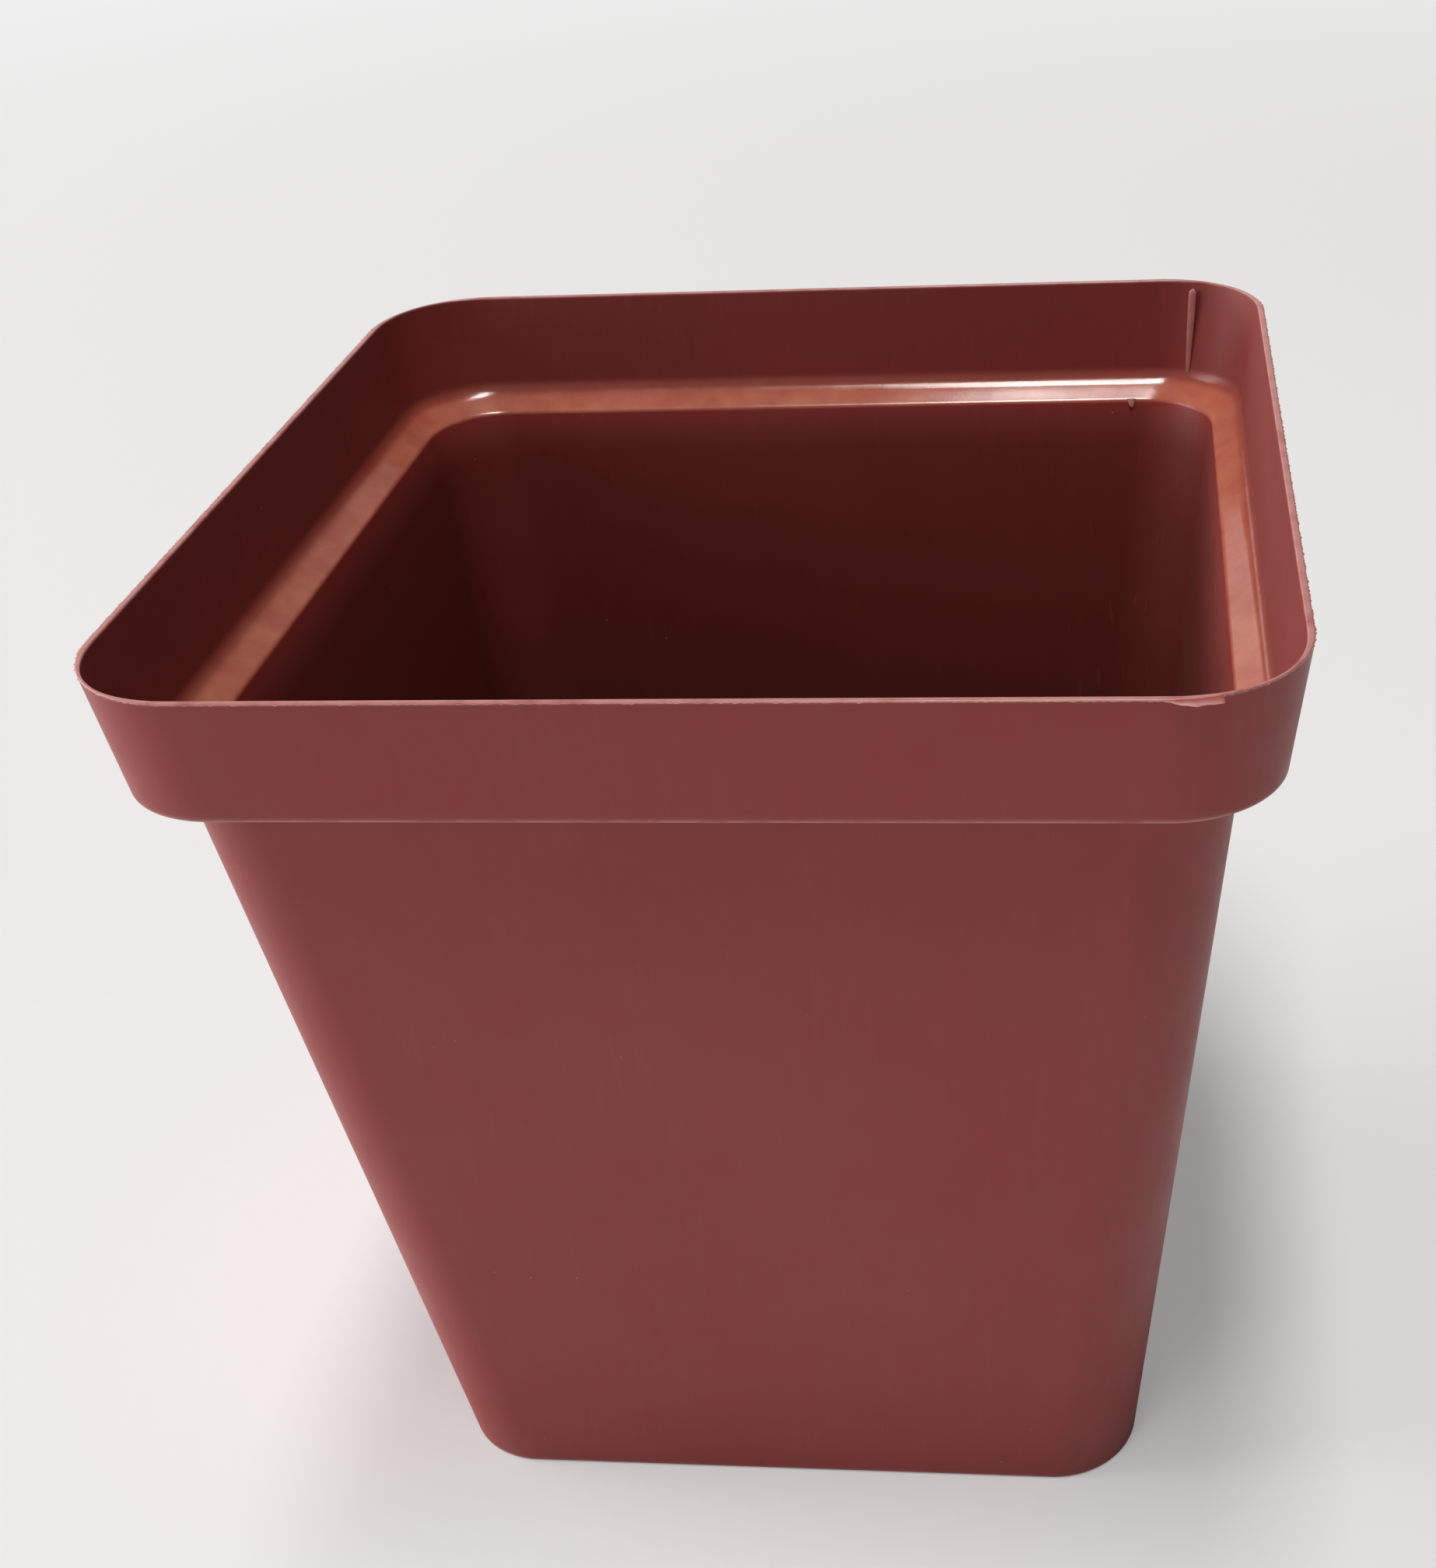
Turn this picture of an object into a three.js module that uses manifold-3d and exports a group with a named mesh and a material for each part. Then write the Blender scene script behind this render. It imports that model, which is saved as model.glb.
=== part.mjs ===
// Square training pot, injection moulded in one piece.
//
// Millimetres, +Z up. The origin is at the centre of the base, on the surface the pot stands on.
//
// The wall is one section carried round a rounded square, the way a lathe carries a profile
// round a circle. Every point of the section has its own half width, height and corner radius,
// so the corners change smoothly from the wide rim down to the base. Outside, the section has
// the standing ring, the tapered body, the step under the rim band, the band and its lip.
// Inside, it has the ledge that the next pot of a stack rests on, a short lead-in where the wall
// opens out under the ledge, the body and the floor.

import * as THREE from "three";
import { mergeVertices } from "three/addons/utils/BufferGeometryUtils.js";
import Module from "manifold-3d";

const { degToRad, lerp } = THREE.MathUtils;

// Rim band, widths measured outside from flat to flat
const POT_HEIGHT = 100.5;
const RIM_WIDTH = 100;
const RIM_CORNER_RADIUS = 11.4;
const BAND_HEIGHT = 11.6;
const BAND_FOOT_WIDTH = 97;
const BAND_FOOT_CORNER_RADIUS = 9.8;
const BAND_WALL = 0.85;
const LIP_EDGE_ROUND = 0.3;
const BAND_FOOT_ROUND = 0.25;

// Stacking ledge between the band and the body
const LEDGE_SLOPE = degToRad(27.5);
const LEDGE_THICKNESS = 1.0;
const LEDGE_CREASE_FILLET = 2.2;
const LEDGE_NOSE_ROUND = 0.7;
const LEAD_IN_FLARE = 0.5;
const LEAD_IN_HEIGHT = 3.2;
const STEP_FILLET = 0.6;

// Tapered body
const BODY_TOP_WIDTH = 89.7;
const BODY_TOP_CORNER_RADIUS = 8.5;
const BODY_WALL = 0.65;

// Base, standing ring and floor
const BASE_WIDTH = 73.5;
const BASE_CORNER_RADIUS = 9.0;
const BASE_EDGE_ROUND = 0.5;
const RING_WIDTH = 2.0;
const RING_EDGE_ROUND = 0.3;
const FLOOR_RISE = 2.0;
const FLOOR_THICKNESS = 1.4;
const FLOOR_FILLET = 2.0;

// Drain holes on the diagonals, and the stub that the injection point leaves under the floor
const DRAIN_HOLE_DIAMETER = 9;
const DRAIN_HOLE_SPACING = 36;
const GATE_STUB_DIAMETER = 5;
const GATE_STUB_HEIGHT = 0.6;
const CUT_ALLOWANCE = 0.5;

// Facets
const SECTION_ARC_STEPS = 4;
const CORNER_ARC_STEPS = 10;
const ROUND_SEGMENTS = 32;

const POT_COLOUR = 0x7c3939;
const UPWARDS = new THREE.Vector3(0, 0, 1);

const bandFootHeight = POT_HEIGHT - BAND_HEIGHT;
const floorUnderside = FLOOR_RISE;
const floorTop = FLOOR_RISE + FLOOR_THICKNESS;

// A corner of the section: half width, height, radius of the rounded square there, and the
// radius of the arc that softens the corner itself.
const sectionCorner = (half, height, corner, round) => ({ half, height, corner, round });

// The section from the edge of the floor's underside, round the outside and back to the floor's
// top. The step under the band runs parallel to the ledge above it, one ledge thickness apart.
function potSection() {
  const ledgeFall = Math.tan(LEDGE_SLOPE);

  const bodyTopHalf = BODY_TOP_WIDTH / 2;
  const bandFootHalf = BAND_FOOT_WIDTH / 2;
  const stepHeight = bandFootHeight - (bandFootHalf - bodyTopHalf) * ledgeFall;

  const creaseHalf = bandFootHalf - BAND_WALL;
  const creaseHeight = bandFootHeight + LEDGE_THICKNESS;
  const noseHalf = bodyTopHalf - BODY_WALL + LEAD_IN_FLARE;
  const noseHeight = creaseHeight - (creaseHalf - noseHalf) * ledgeFall;

  const rimHalf = RIM_WIDTH / 2;
  const baseHalf = BASE_WIDTH / 2;
  const ringHalf = baseHalf - RING_WIDTH;
  const bodyTaper = (bodyTopHalf - baseHalf) / stepHeight;
  const innerHalf = (height) => baseHalf + bodyTaper * height - BODY_WALL;
  const leadInHeight = noseHeight - LEAD_IN_HEIGHT;
  const floorHalf = innerHalf(floorTop);

  return [
    sectionCorner(ringHalf, floorUnderside, BASE_CORNER_RADIUS - RING_WIDTH, 0),
    sectionCorner(ringHalf, 0, BASE_CORNER_RADIUS - RING_WIDTH, RING_EDGE_ROUND),
    sectionCorner(baseHalf, 0, BASE_CORNER_RADIUS, BASE_EDGE_ROUND),
    sectionCorner(bodyTopHalf, stepHeight, BODY_TOP_CORNER_RADIUS, STEP_FILLET),
    sectionCorner(bandFootHalf, bandFootHeight, BAND_FOOT_CORNER_RADIUS, BAND_FOOT_ROUND),
    sectionCorner(rimHalf, POT_HEIGHT, RIM_CORNER_RADIUS, LIP_EDGE_ROUND),
    sectionCorner(rimHalf - BAND_WALL, POT_HEIGHT, RIM_CORNER_RADIUS - BAND_WALL, LIP_EDGE_ROUND),
    sectionCorner(creaseHalf, creaseHeight, BAND_FOOT_CORNER_RADIUS - BAND_WALL, LEDGE_CREASE_FILLET),
    sectionCorner(noseHalf, noseHeight, BODY_TOP_CORNER_RADIUS - BODY_WALL, LEDGE_NOSE_ROUND),
    sectionCorner(innerHalf(leadInHeight), leadInHeight, BODY_TOP_CORNER_RADIUS - BODY_WALL, 0),
    sectionCorner(floorHalf, floorTop, BASE_CORNER_RADIUS - BODY_WALL, FLOOR_FILLET),
    sectionCorner(floorHalf - 2 * FLOOR_FILLET, floorTop, BASE_CORNER_RADIUS - BODY_WALL, 0),
  ];
}

// Replaces each corner of a section that has a round by a tangent arc. An arc never takes more
// than half of the shorter side beside it.
function roundSection(section) {
  const plane = (p) => new THREE.Vector2(p.half, p.height);
  return section.flatMap((corner, k) => {
    if (!corner.round) return [corner];
    const point = plane(corner);
    const sides = [section[k - 1], section[k + 1]].map((end) => {
      const along = plane(end).sub(point);
      return { end, length: along.length(), direction: along.normalize() };
    });
    const opening = sides[0].direction.angleTo(sides[1].direction);
    const wanted = corner.round / Math.tan(opening / 2);
    const reach = Math.min(wanted, sides[0].length / 2, sides[1].length / 2);
    const radius = reach * Math.tan(opening / 2);
    const middle = sides[0].direction.clone().add(sides[1].direction).normalize();
    const centre = point.clone().addScaledVector(middle, radius / Math.sin(opening / 2));
    const spokes = sides.map((s) => point.clone().addScaledVector(s.direction, reach).sub(centre));
    const corners = sides.map((s) => lerp(corner.corner, s.end.corner, reach / s.length));
    const sweep = Math.PI - opening;
    return Array.from({ length: SECTION_ARC_STEPS + 1 }, (_, i) => {
      const t = i / SECTION_ARC_STEPS;
      const at = centre
        .clone()
        .addScaledVector(spokes[0], Math.sin((1 - t) * sweep) / Math.sin(sweep))
        .addScaledVector(spokes[1], Math.sin(t * sweep) / Math.sin(sweep));
      return sectionCorner(at.x, at.y, lerp(corners[0], corners[1], t), 0);
    });
  });
}

// The outline of a rounded square at one height, anticlockwise from above.
function roundedSquare({ half, height, corner }) {
  const centre = half - corner;
  const quarter = Math.PI / 2;
  return [0, 1, 2, 3].flatMap((side) =>
    Array.from({ length: CORNER_ARC_STEPS + 1 }, (_, i) => {
      const turn = (i / CORNER_ARC_STEPS) * quarter;
      const x = centre + corner * Math.cos(turn);
      const y = centre + corner * Math.sin(turn);
      return new THREE.Vector3(x, y, height).applyAxisAngle(UPWARDS, side * quarter);
    }),
  );
}

// A closed skin over a section carried round the rounded square, with a flat middle at both ends.
function squareLathe(section) {
  const rings = section.map(roundedSquare);
  const count = rings[0].length;
  const points = rings.flat();
  const first = points.push(new THREE.Vector3(0, 0, section[0].height)) - 1;
  const last = points.push(new THREE.Vector3(0, 0, section[section.length - 1].height)) - 1;
  const index = [];
  for (let i = 0; i < count; i++) {
    const next = (i + 1) % count;
    index.push(first, next, i);
    for (let j = 0; j + 1 < rings.length; j++) {
      const low = j * count;
      const high = low + count;
      index.push(low + i, low + next, high + next);
      index.push(low + i, high + next, high + i);
    }
    const top = (rings.length - 1) * count;
    index.push(last, top + i, top + next);
  }
  return new THREE.BufferGeometry().setFromPoints(points).setIndex(index);
}

// A round bar standing along Z between two heights.
function uprightBar(diameter, bottom, top) {
  const bar = new THREE.CylinderGeometry(diameter / 2, diameter / 2, top - bottom, ROUND_SEGMENTS);
  return bar.rotateX(Math.PI / 2).translate(0, 0, (bottom + top) / 2);
}

const wasm = await Module();
wasm.setup();

function solidFrom(geometry) {
  geometry.deleteAttribute("normal");
  geometry.deleteAttribute("uv");
  const merged = mergeVertices(geometry);
  return new wasm.Manifold(
    new wasm.Mesh({
      numProp: 3,
      vertProperties: new Float32Array(merged.attributes.position.array),
      triVerts: new Uint32Array(merged.index.array),
    }),
  );
}

function geometryFrom(solid) {
  const mesh = solid.getMesh();
  const geometry = new THREE.BufferGeometry();
  geometry.setAttribute("position", new THREE.BufferAttribute(mesh.vertProperties, mesh.numProp));
  geometry.setIndex(new THREE.BufferAttribute(mesh.triVerts, 1));
  geometry.computeVertexNormals();
  return geometry;
}

function potBody() {
  const shell = solidFrom(squareLathe(roundSection(potSection())));
  const gateStub = uprightBar(
    GATE_STUB_DIAMETER,
    floorUnderside - GATE_STUB_HEIGHT,
    floorUnderside + FLOOR_THICKNESS / 2,
  );
  const drill = uprightBar(DRAIN_HOLE_DIAMETER, floorUnderside - CUT_ALLOWANCE, floorTop + CUT_ALLOWANCE);
  const reach = DRAIN_HOLE_SPACING / 2;
  const places = [-reach, reach];
  const drills = places.flatMap((x) => places.map((y) => drill.clone().translate(x, y, 0)));
  const moulded = shell.add(solidFrom(gateStub));
  return drills.reduce((rest, hole) => rest.subtract(solidFrom(hole)), moulded);
}

const potPlastic = new THREE.MeshStandardMaterial({ color: POT_COLOUR, roughness: 0.5, metalness: 0 });

const pot = new THREE.Mesh(geometryFrom(potBody()), potPlastic);
pot.name = "pot";

const squareTrainingPot = new THREE.Group();
squareTrainingPot.name = "square_training_pot";
squareTrainingPot.add(pot);

export default squareTrainingPot;
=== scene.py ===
"""A square training pot in moulded plastic, and a plain studio to look at it in."""

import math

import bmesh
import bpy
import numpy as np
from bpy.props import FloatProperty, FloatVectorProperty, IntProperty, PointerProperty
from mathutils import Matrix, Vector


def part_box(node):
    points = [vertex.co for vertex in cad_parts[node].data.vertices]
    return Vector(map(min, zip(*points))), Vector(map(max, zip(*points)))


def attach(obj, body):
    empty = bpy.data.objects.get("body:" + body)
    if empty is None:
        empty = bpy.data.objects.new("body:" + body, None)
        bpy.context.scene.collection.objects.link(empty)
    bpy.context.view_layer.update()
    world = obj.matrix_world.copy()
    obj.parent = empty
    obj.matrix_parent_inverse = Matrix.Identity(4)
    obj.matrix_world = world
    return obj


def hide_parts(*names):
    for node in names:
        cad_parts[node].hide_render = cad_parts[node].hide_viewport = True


bl_info = {
    "name": "Square Training Pot",
    "version": (1, 0, 0),
    "blender": (4, 5, 0),
    "location": "View3D > Sidebar > Pot",
    "description": "Builds a moulded square plant pot, the flash on its lip and a plain studio",
    "category": "Add Mesh",
}

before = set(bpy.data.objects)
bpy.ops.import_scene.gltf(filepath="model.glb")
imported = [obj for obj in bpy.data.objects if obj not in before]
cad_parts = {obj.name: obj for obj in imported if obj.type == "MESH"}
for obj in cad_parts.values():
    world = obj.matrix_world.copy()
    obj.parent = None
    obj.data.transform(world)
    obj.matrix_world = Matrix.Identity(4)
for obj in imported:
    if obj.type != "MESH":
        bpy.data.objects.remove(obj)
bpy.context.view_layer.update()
POT_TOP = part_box("pot")[1].z

MM = 0.001
QUARTER = math.pi / 2
PHOTO_WIDTH = 1846
PHOTO_HEIGHT = 2016


def length(name, description, millimetres):
    """A size, written in millimetres and held in metres."""
    return FloatProperty(name=name, description=description, default=millimetres * MM, unit="LENGTH")


def angle(name, description, degrees):
    """An angle, written in degrees and held in radians."""
    return FloatProperty(
        name=name, description=description, default=math.radians(degrees), subtype="ANGLE"
    )


def colour(name, description, rgb):
    """A surface or light colour, in linear values."""
    return FloatVectorProperty(
        name=name, description=description, default=rgb, subtype="COLOR", size=3, min=0, max=1
    )


class PotSizes(bpy.types.PropertyGroup):
    """The sizes of the moulding. Widths are outside, flat to flat."""

    height: FloatProperty(
        name="Height", description="From the bench to the lip", default=POT_TOP, unit="LENGTH"
    )
    rim_width: length("Rim width", "Width of the rim band at the lip", 100)
    rim_corner: length("Rim corner", "Corner radius at the lip", 11.4)
    lip_round: length("Lip round", "Rounding of the lip's two edges", 0.2)
    band_height: length("Band height", "Height of the rim band", 11.6)
    band_foot_width: length("Band foot width", "Width of the rim band at its lower edge", 97)
    band_foot_corner: length("Band foot corner", "Corner radius at the band's lower edge", 9.8)
    band_foot_round: length("Band foot round", "Rounding of the band's lower edge", 0.25)
    band_wall: length("Band wall", "Wall thickness of the rim band", 0.85)
    lip_thin: length("Lip thinning", "How much thinner the lip is than the band, along a side", 0.2)
    corner_thin: length("Corner thinning", "How much thinner still it is in a corner", 0.4)
    step_fillet: length("Step fillet", "Fillet where the body meets the step under the band", 0.6)
    ledge_slope: angle("Ledge slope", "Fall of the stacking ledge towards the middle", 27.5)
    ledge_thickness: length("Ledge thickness", "Upright thickness of the ledge", 1.0)
    crease_fillet: length("Crease fillet", "Fillet where the ledge meets the band", 2.2)
    nose_round: length("Nose round", "Rounding of the ledge's inner edge", 0.7)
    lead_in_flare: length("Lead-in flare", "How far the wall opens out under the ledge", 0.5)
    lead_in_height: length("Lead-in height", "Height of the opened-out stretch under the ledge", 3.2)
    lead_in_round: length("Lead-in round", "Rounding of the lead-in's lower end", 25)
    body_top_width: length("Body top width", "Width of the body under the step", 89.7)
    body_top_corner: length("Body top corner", "Corner radius of the body under the step", 8.5)
    body_wall: length("Body wall", "Wall thickness of the body", 0.65)
    base_width: length("Base width", "Width of the body at the bench", 73.5)
    base_corner: length("Base corner", "Corner radius at the bench", 9.0)
    base_round: length("Base round", "Rounding of the outer edge at the bench", 0.5)
    ring_width: length("Ring width", "Width of the standing ring", 2.0)
    ring_round: length("Ring round", "Rounding of the ring's inner edge", 0.3)
    floor_rise: length("Floor rise", "Gap between the bench and the floor", 2.0)
    floor_thickness: length("Floor thickness", "Thickness of the floor", 1.4)
    floor_fillet: length("Floor fillet", "Fillet between the floor and the wall", 2.0)
    hole_diameter: length("Drain hole", "Diameter of a drain hole", 9)
    hole_spacing: length("Hole spacing", "Distance between the middles of neighbouring holes", 36)
    hole_round: length("Hole round", "Rounding of a drain hole's edges", 0.3)
    gate_diameter: length("Gate stub", "Diameter of the injection stub under the floor", 5)
    gate_height: length("Gate height", "How far the injection stub stands out", 0.6)
    wall_sink: length("Wall sink", "How far the middle of each wall sinks in as it cools", 0.15)


class PotFlash(bpy.types.PropertyGroup):
    """The thin plastic that is squeezed out where the mould closes."""

    trim: length("Trim", "Usual width of the flash left on the lip", 0.09)
    flap: length("Flap", "Width of the flap of flash at the front right corner", 0.7)
    thickness: length("Thickness", "Thickness of the flash at its root", 0.14)
    flap_start: length("Flap start", "Distance of the flap's start past the start of the corner", -1)
    flap_end: length("Flap end", "Distance of the flap's end past the start of the corner", 4)
    witness_turn: angle("Witness line", "Turn from the back wall to the line in its right corner", 22.5)
    witness_width: length("Witness width", "Width of the line in the corner, at its top", 1.2)
    burr_place: length("Burr place", "Distance of the ledge's burr from the middle of the back", 35.8)
    burr_drop: length("Burr drop", "How far the burr hangs down", 0.9)
    seed: IntProperty(name="Seed", description="Which ragged edge the flash has", default=11)


class PotFinish(bpy.types.PropertyGroup):
    """The colours of the plastic.

    The inside's colour is painted shade; the ledge's and the pale edges' colours are partly
    painted light.
    """

    plastic: colour("Plastic", "Terracotta brown of the moulding", (0.315, 0.029, 0.026))
    plastic_pale: colour("Pale plastic", "Flow marks and drag marks", (0.335, 0.050, 0.044))
    # Painted shade: the inside is painted in this darker colour, darkest from half height down
    plastic_painted_shade: colour("Deep plastic", "The inside, which looks deeper", (0.135, 0.024, 0.016))
    # Partly painted highlight: besides trim marks, this pale colour paints the bright lip, the band's
    # lower edge and the flash's tip
    whitened_and_highlight: colour("Whitened edge", "Plastic whitened by trimming and rubbing", (0.64, 0.33, 0.30))
    # Partly painted light: besides real rubbing, this lighter orange paints light falling on the ledges
    # from above
    rubbed_and_lit: colour("Rubbed ledge", "Ledge rubbed by the pots stacked in it", (0.60, 0.235, 0.135))
    dust: colour("Dust", "Pale dust caught in the grain", (0.50, 0.40, 0.34))


class PotStudio(bpy.types.PropertyGroup):
    """The floor and the camera."""

    floor_colour: colour("Floor", "Pale paper under the pot", (0.80, 0.80, 0.80))
    floor_shown: colour("Floor shown", "Plain colour that part of the paper shows", (0.87, 0.87, 0.87))
    floor_plain: FloatProperty(
        name="Floor plain",
        description="Share of the floor that shows as its plain colour, without shadow",
        default=0.32,
        subtype="FACTOR",
    )
    camera_place: FloatVectorProperty(
        name="Camera place",
        description="Where the camera stands",
        default=(0.03546, -0.18646, 0.17398),
        subtype="TRANSLATION",
        unit="LENGTH",
    )
    camera_pan: angle("Pan", "Turn to the right", -7.37)
    camera_tilt: angle("Tilt", "Look downwards", 33.78)
    camera_roll: angle("Roll", "Lean of the camera", -3.79)
    lens: FloatProperty(name="Lens", description="Focal length in millimetres", default=47.78)
    axis_x: FloatProperty(
        name="Lens axis across", description="Photograph pixel on the lens axis", default=1160
    )
    axis_y: FloatProperty(
        name="Lens axis down", description="Photograph pixel on the lens axis", default=1167
    )


# Section of the moulding

ARC_STEPS = 9
ROW_PITCH = 3 * MM
MOST_ROWS = 18
EDGE_ROWS = np.array([0.1, 0.35]) * MM
WEAR_AND_HIGHLIGHT_FADE = 0.12 * MM


def band_lines(size):
    """Half width, height and corner radius of the lip's inner edge, the ledge's crease and its nose."""
    crease_half = size.band_foot_width / 2 - size.band_wall
    crease_height = size.height - size.band_height + size.ledge_thickness
    nose_half = size.body_top_width / 2 - size.body_wall + size.lead_in_flare
    nose_height = crease_height - (crease_half - nose_half) * math.tan(size.ledge_slope)
    lip = (size.rim_width / 2 - size.band_wall, size.height, size.rim_corner - size.band_wall)
    crease = (crease_half, crease_height, size.band_foot_corner - size.band_wall)
    nose = (nose_half, nose_height, size.body_top_corner - size.body_wall)
    return lip, crease, nose


def moulding_section(size):
    """The wall section as rows of half width, height, corner radius, edge rounding and pale edge
    share, which is wear at the base and a painted highlight at the band's lower edge.

    It runs from the floor's underside, out over the standing ring, up the outside, over the lip
    and down the inside to the floor's top. The step under the band is parallel to the ledge.
    """
    lip, crease, nose = band_lines(size)
    foot_height = size.height - size.band_height
    foot_half = size.band_foot_width / 2
    body_half = size.body_top_width / 2
    base_half = size.base_width / 2
    ring_half = base_half - size.ring_width
    ring_corner = size.base_corner - size.ring_width
    step_height = foot_height - (foot_half - body_half) * math.tan(size.ledge_slope)
    floor_top = size.floor_rise + size.floor_thickness
    lead_in_height = nose[1] - size.lead_in_height
    taper = (body_half - base_half) / step_height
    lead_in_half = base_half + taper * lead_in_height - size.body_wall
    floor_half = base_half + taper * floor_top - size.body_wall
    inner_corner = size.base_corner - size.body_wall
    inset = 2 * size.floor_fillet
    return np.array(
        [
            (ring_half - inset, size.floor_rise, ring_corner - inset, 0, 0),
            (ring_half, size.floor_rise, ring_corner, size.ring_round, 0),
            (ring_half, 0, ring_corner, size.ring_round, 0),
            # Last column: pale edge share, wear at the base and a painted highlight at the band's lower
            # edge
            (base_half, 0, size.base_corner, size.base_round, 0.25),
            (body_half, step_height, size.body_top_corner, size.step_fillet, 0),
            (foot_half, foot_height, size.band_foot_corner, size.band_foot_round, 0.6),
            (size.rim_width / 2, size.height, size.rim_corner, size.lip_round, 0),
            (*lip, size.lip_round, 0),
            (*crease, size.crease_fillet, 0),
            (*nose, size.nose_round, 0),
            (lead_in_half, lead_in_height, nose[2], size.lead_in_round, 0),
            (floor_half, floor_top, inner_corner, size.floor_fillet, 0),
            (floor_half - inset, floor_top, inner_corner - inset, 0, 0),
        ]
    )


def corner_arc(before, point, after):
    """One corner of the section as a circular arc tangent to both of its sides.

    With opening angle w, the arc starts rounding / tan(w / 2) from the corner, but never takes
    half of a side. The corner radius of the pot changes evenly along it.
    """
    sides = np.array([before[:3] - point[:3], after[:3] - point[:3]])
    spans = np.linalg.norm(sides[:, :2], axis=1)
    sides /= spans[:, None]
    opening = math.acos(np.clip(sides[0, :2] @ sides[1, :2], -1, 1))
    reach = min(point[3] / math.tan(opening / 2), 0.49 * spans.min())
    radius = reach * math.tan(opening / 2)
    middle = sides[:, :2].sum(0)
    centre = point[:2] + middle / np.linalg.norm(middle) * radius / math.sin(opening / 2)
    ends = point[:3] + sides * reach
    spokes = ends[:, :2] - centre
    sweep = math.pi - opening
    t = np.linspace(0, 1, ARC_STEPS)[:, None]
    ring = (np.sin((1 - t) * sweep) * spokes[0] + np.sin(t * sweep) * spokes[1]) / math.sin(sweep)
    return np.hstack([centre + ring, ends[0, 2] + t * (ends[1, 2] - ends[0, 2])])


def soften(corners):
    """Rounds the corners of the section and fills its straight stretches with rows.

    The rows of a straight stretch crowd towards its ends as half a cosine wave does, and a long
    one has edge rows close to its ends too. The pale edge share, partly wear and partly painted
    highlight, is that of the corner on its arc, and fades away from it as exp(-distance / fade).
    Returns the rows of half width, height and corner radius, and the pale edge share of each.
    """
    rows = [corners[0, None, :3]]
    wear_and_highlight = [corners[0, 4, None]]
    for k in range(1, len(corners)):
        last = k == len(corners) - 1
        arc = corners[k, None, :3] if last else corner_arc(corners[k - 1], corners[k], corners[k + 1])
        start = rows[-1][-1]
        span = np.linalg.norm((arc[0] - start)[:2])
        count = 4 + min(int(span / ROW_PITCH), MOST_ROWS)
        s = span * (1 - np.cos(np.linspace(0, math.pi, count))[1:-1]) / 2
        if span > 3 * EDGE_ROWS[-1]:
            s = np.sort(np.concatenate([EDGE_ROWS, s, span - EDGE_ROWS]))
        rows.append(start + (arc[0] - start) * s[:, None] / span)
        near = corners[k - 1, 4] * np.exp(-s / WEAR_AND_HIGHLIGHT_FADE)
        wear_and_highlight.append(near + corners[k, 4] * np.exp((s - span) / WEAR_AND_HIGHLIGHT_FADE))
        rows.append(arc)
        wear_and_highlight.append(np.full(len(arc), corners[k, 4]))
    return np.concatenate(rows), np.clip(np.concatenate(wear_and_highlight), 0, 1)


# Finish of the surface, with painted shade and painted light

# What a point of the surface has where its grid gives no value of its own
SURFACE = {"wear_and_highlight": 0, "inside": 0, "rubbed_and_lit": 0, "polish": 0.43}
LIP_WEAR_AND_HIGHLIGHT = 0.6
LIP_POLISH = 0.7
FLOOR_POLISH = 0.2
CREASE_LINE_PALENESS = 0.6
CREASE_LINE_RISE = 0.2 * MM
CREASE_LINE_WIDTH = 0.14 * MM


def inner_rows(rows):
    """Which rows lie past the lip, on the inside."""
    return np.arange(len(rows)) > np.argmax(rows[:, 1]) + ARC_STEPS


def inside_shade_and_finish(size, rows):
    """How much painted shade, rubbing and light, and polish each row has.

    On the inside, each value follows the height in straight stretches. The inside is painted
    darker as shade, most from half height down to the floor, less on the band and least on the
    ledge. The pots of a stack rub the ledge, most at its nose, and polish it; its lighter, more
    orange colour is partly that rubbing and partly painted light falling on it from above. The
    band above it is matt, and the lip is polished.
    """
    _, crease, nose = band_lines(size)
    floor_top = size.floor_rise + size.floor_thickness
    wall = [floor_top, size.height / 2, nose[1] - 2 * MM]
    ledge = [nose[1] - 0.3 * MM, nose[1], crease[1] - 0.3 * MM, crease[1]]
    marks = wall + ledge + [crease[1] + 0.8 * MM, crease[1] + 1.3 * MM]
    levels = {
        # The first levels are painted shade; the second are rubbing with painted light on the ledge
        "inside": (1, 1, 0.6, 0.2, 0.2, 0.2, 0.5, 0.5, 0.5),
        "rubbed_and_lit": (0, 0, 0, 0, 1, 0.75, 0.4, 0.15, 0),
        "polish": (FLOOR_POLISH, 0.5, 0.15, 0.4, 0.75, 1, 0.85, 0.4, 0),
    }
    finish = {
        label: np.where(inner_rows(rows), np.interp(rows[:, 1], marks, level), SURFACE[label])
        for label, level in levels.items()
    }
    on_lip = rows[:, 1] > size.height - size.lip_round
    finish["polish"] = np.where(on_lip, LIP_POLISH, finish["polish"])
    return finish


def lip_wear_and_highlight(size, rows):
    """Pale colour of the lip, partly from trimming and partly a painted highlight.

    It falls to nothing one and a half roundings down, along a cosine.
    """
    drop = np.clip((size.height - rows[:, 1]) / (1.5 * size.lip_round), 0, 1)
    return LIP_WEAR_AND_HIGHLIGHT * (1 + np.cos(math.pi * drop)) / 2


def crease_pale_line(size, rows, turn):
    """A pale line along the right side's crease: a bell curve of the height, for most of the side."""
    _, crease, _ = band_lines(size)
    bell = np.exp(-(((rows[:, 1] - crease[1] - CREASE_LINE_RISE) / CREASE_LINE_WIDTH) ** 2))
    along = np.interp(turn - RIGHT, (0.02, 0.1, 0.6, 0.85), (0, 1, 1, 0))
    return CREASE_LINE_PALENESS * (bell * inner_rows(rows))[:, None] * along


# Rounded square path

RIGHT, BACK, FRONT = 0, 2, 6
# Points along each side and each corner, in the order of the path
STRETCH_STEPS = (30, 26, 30, 26, 30, 26, 46, 26)


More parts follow.
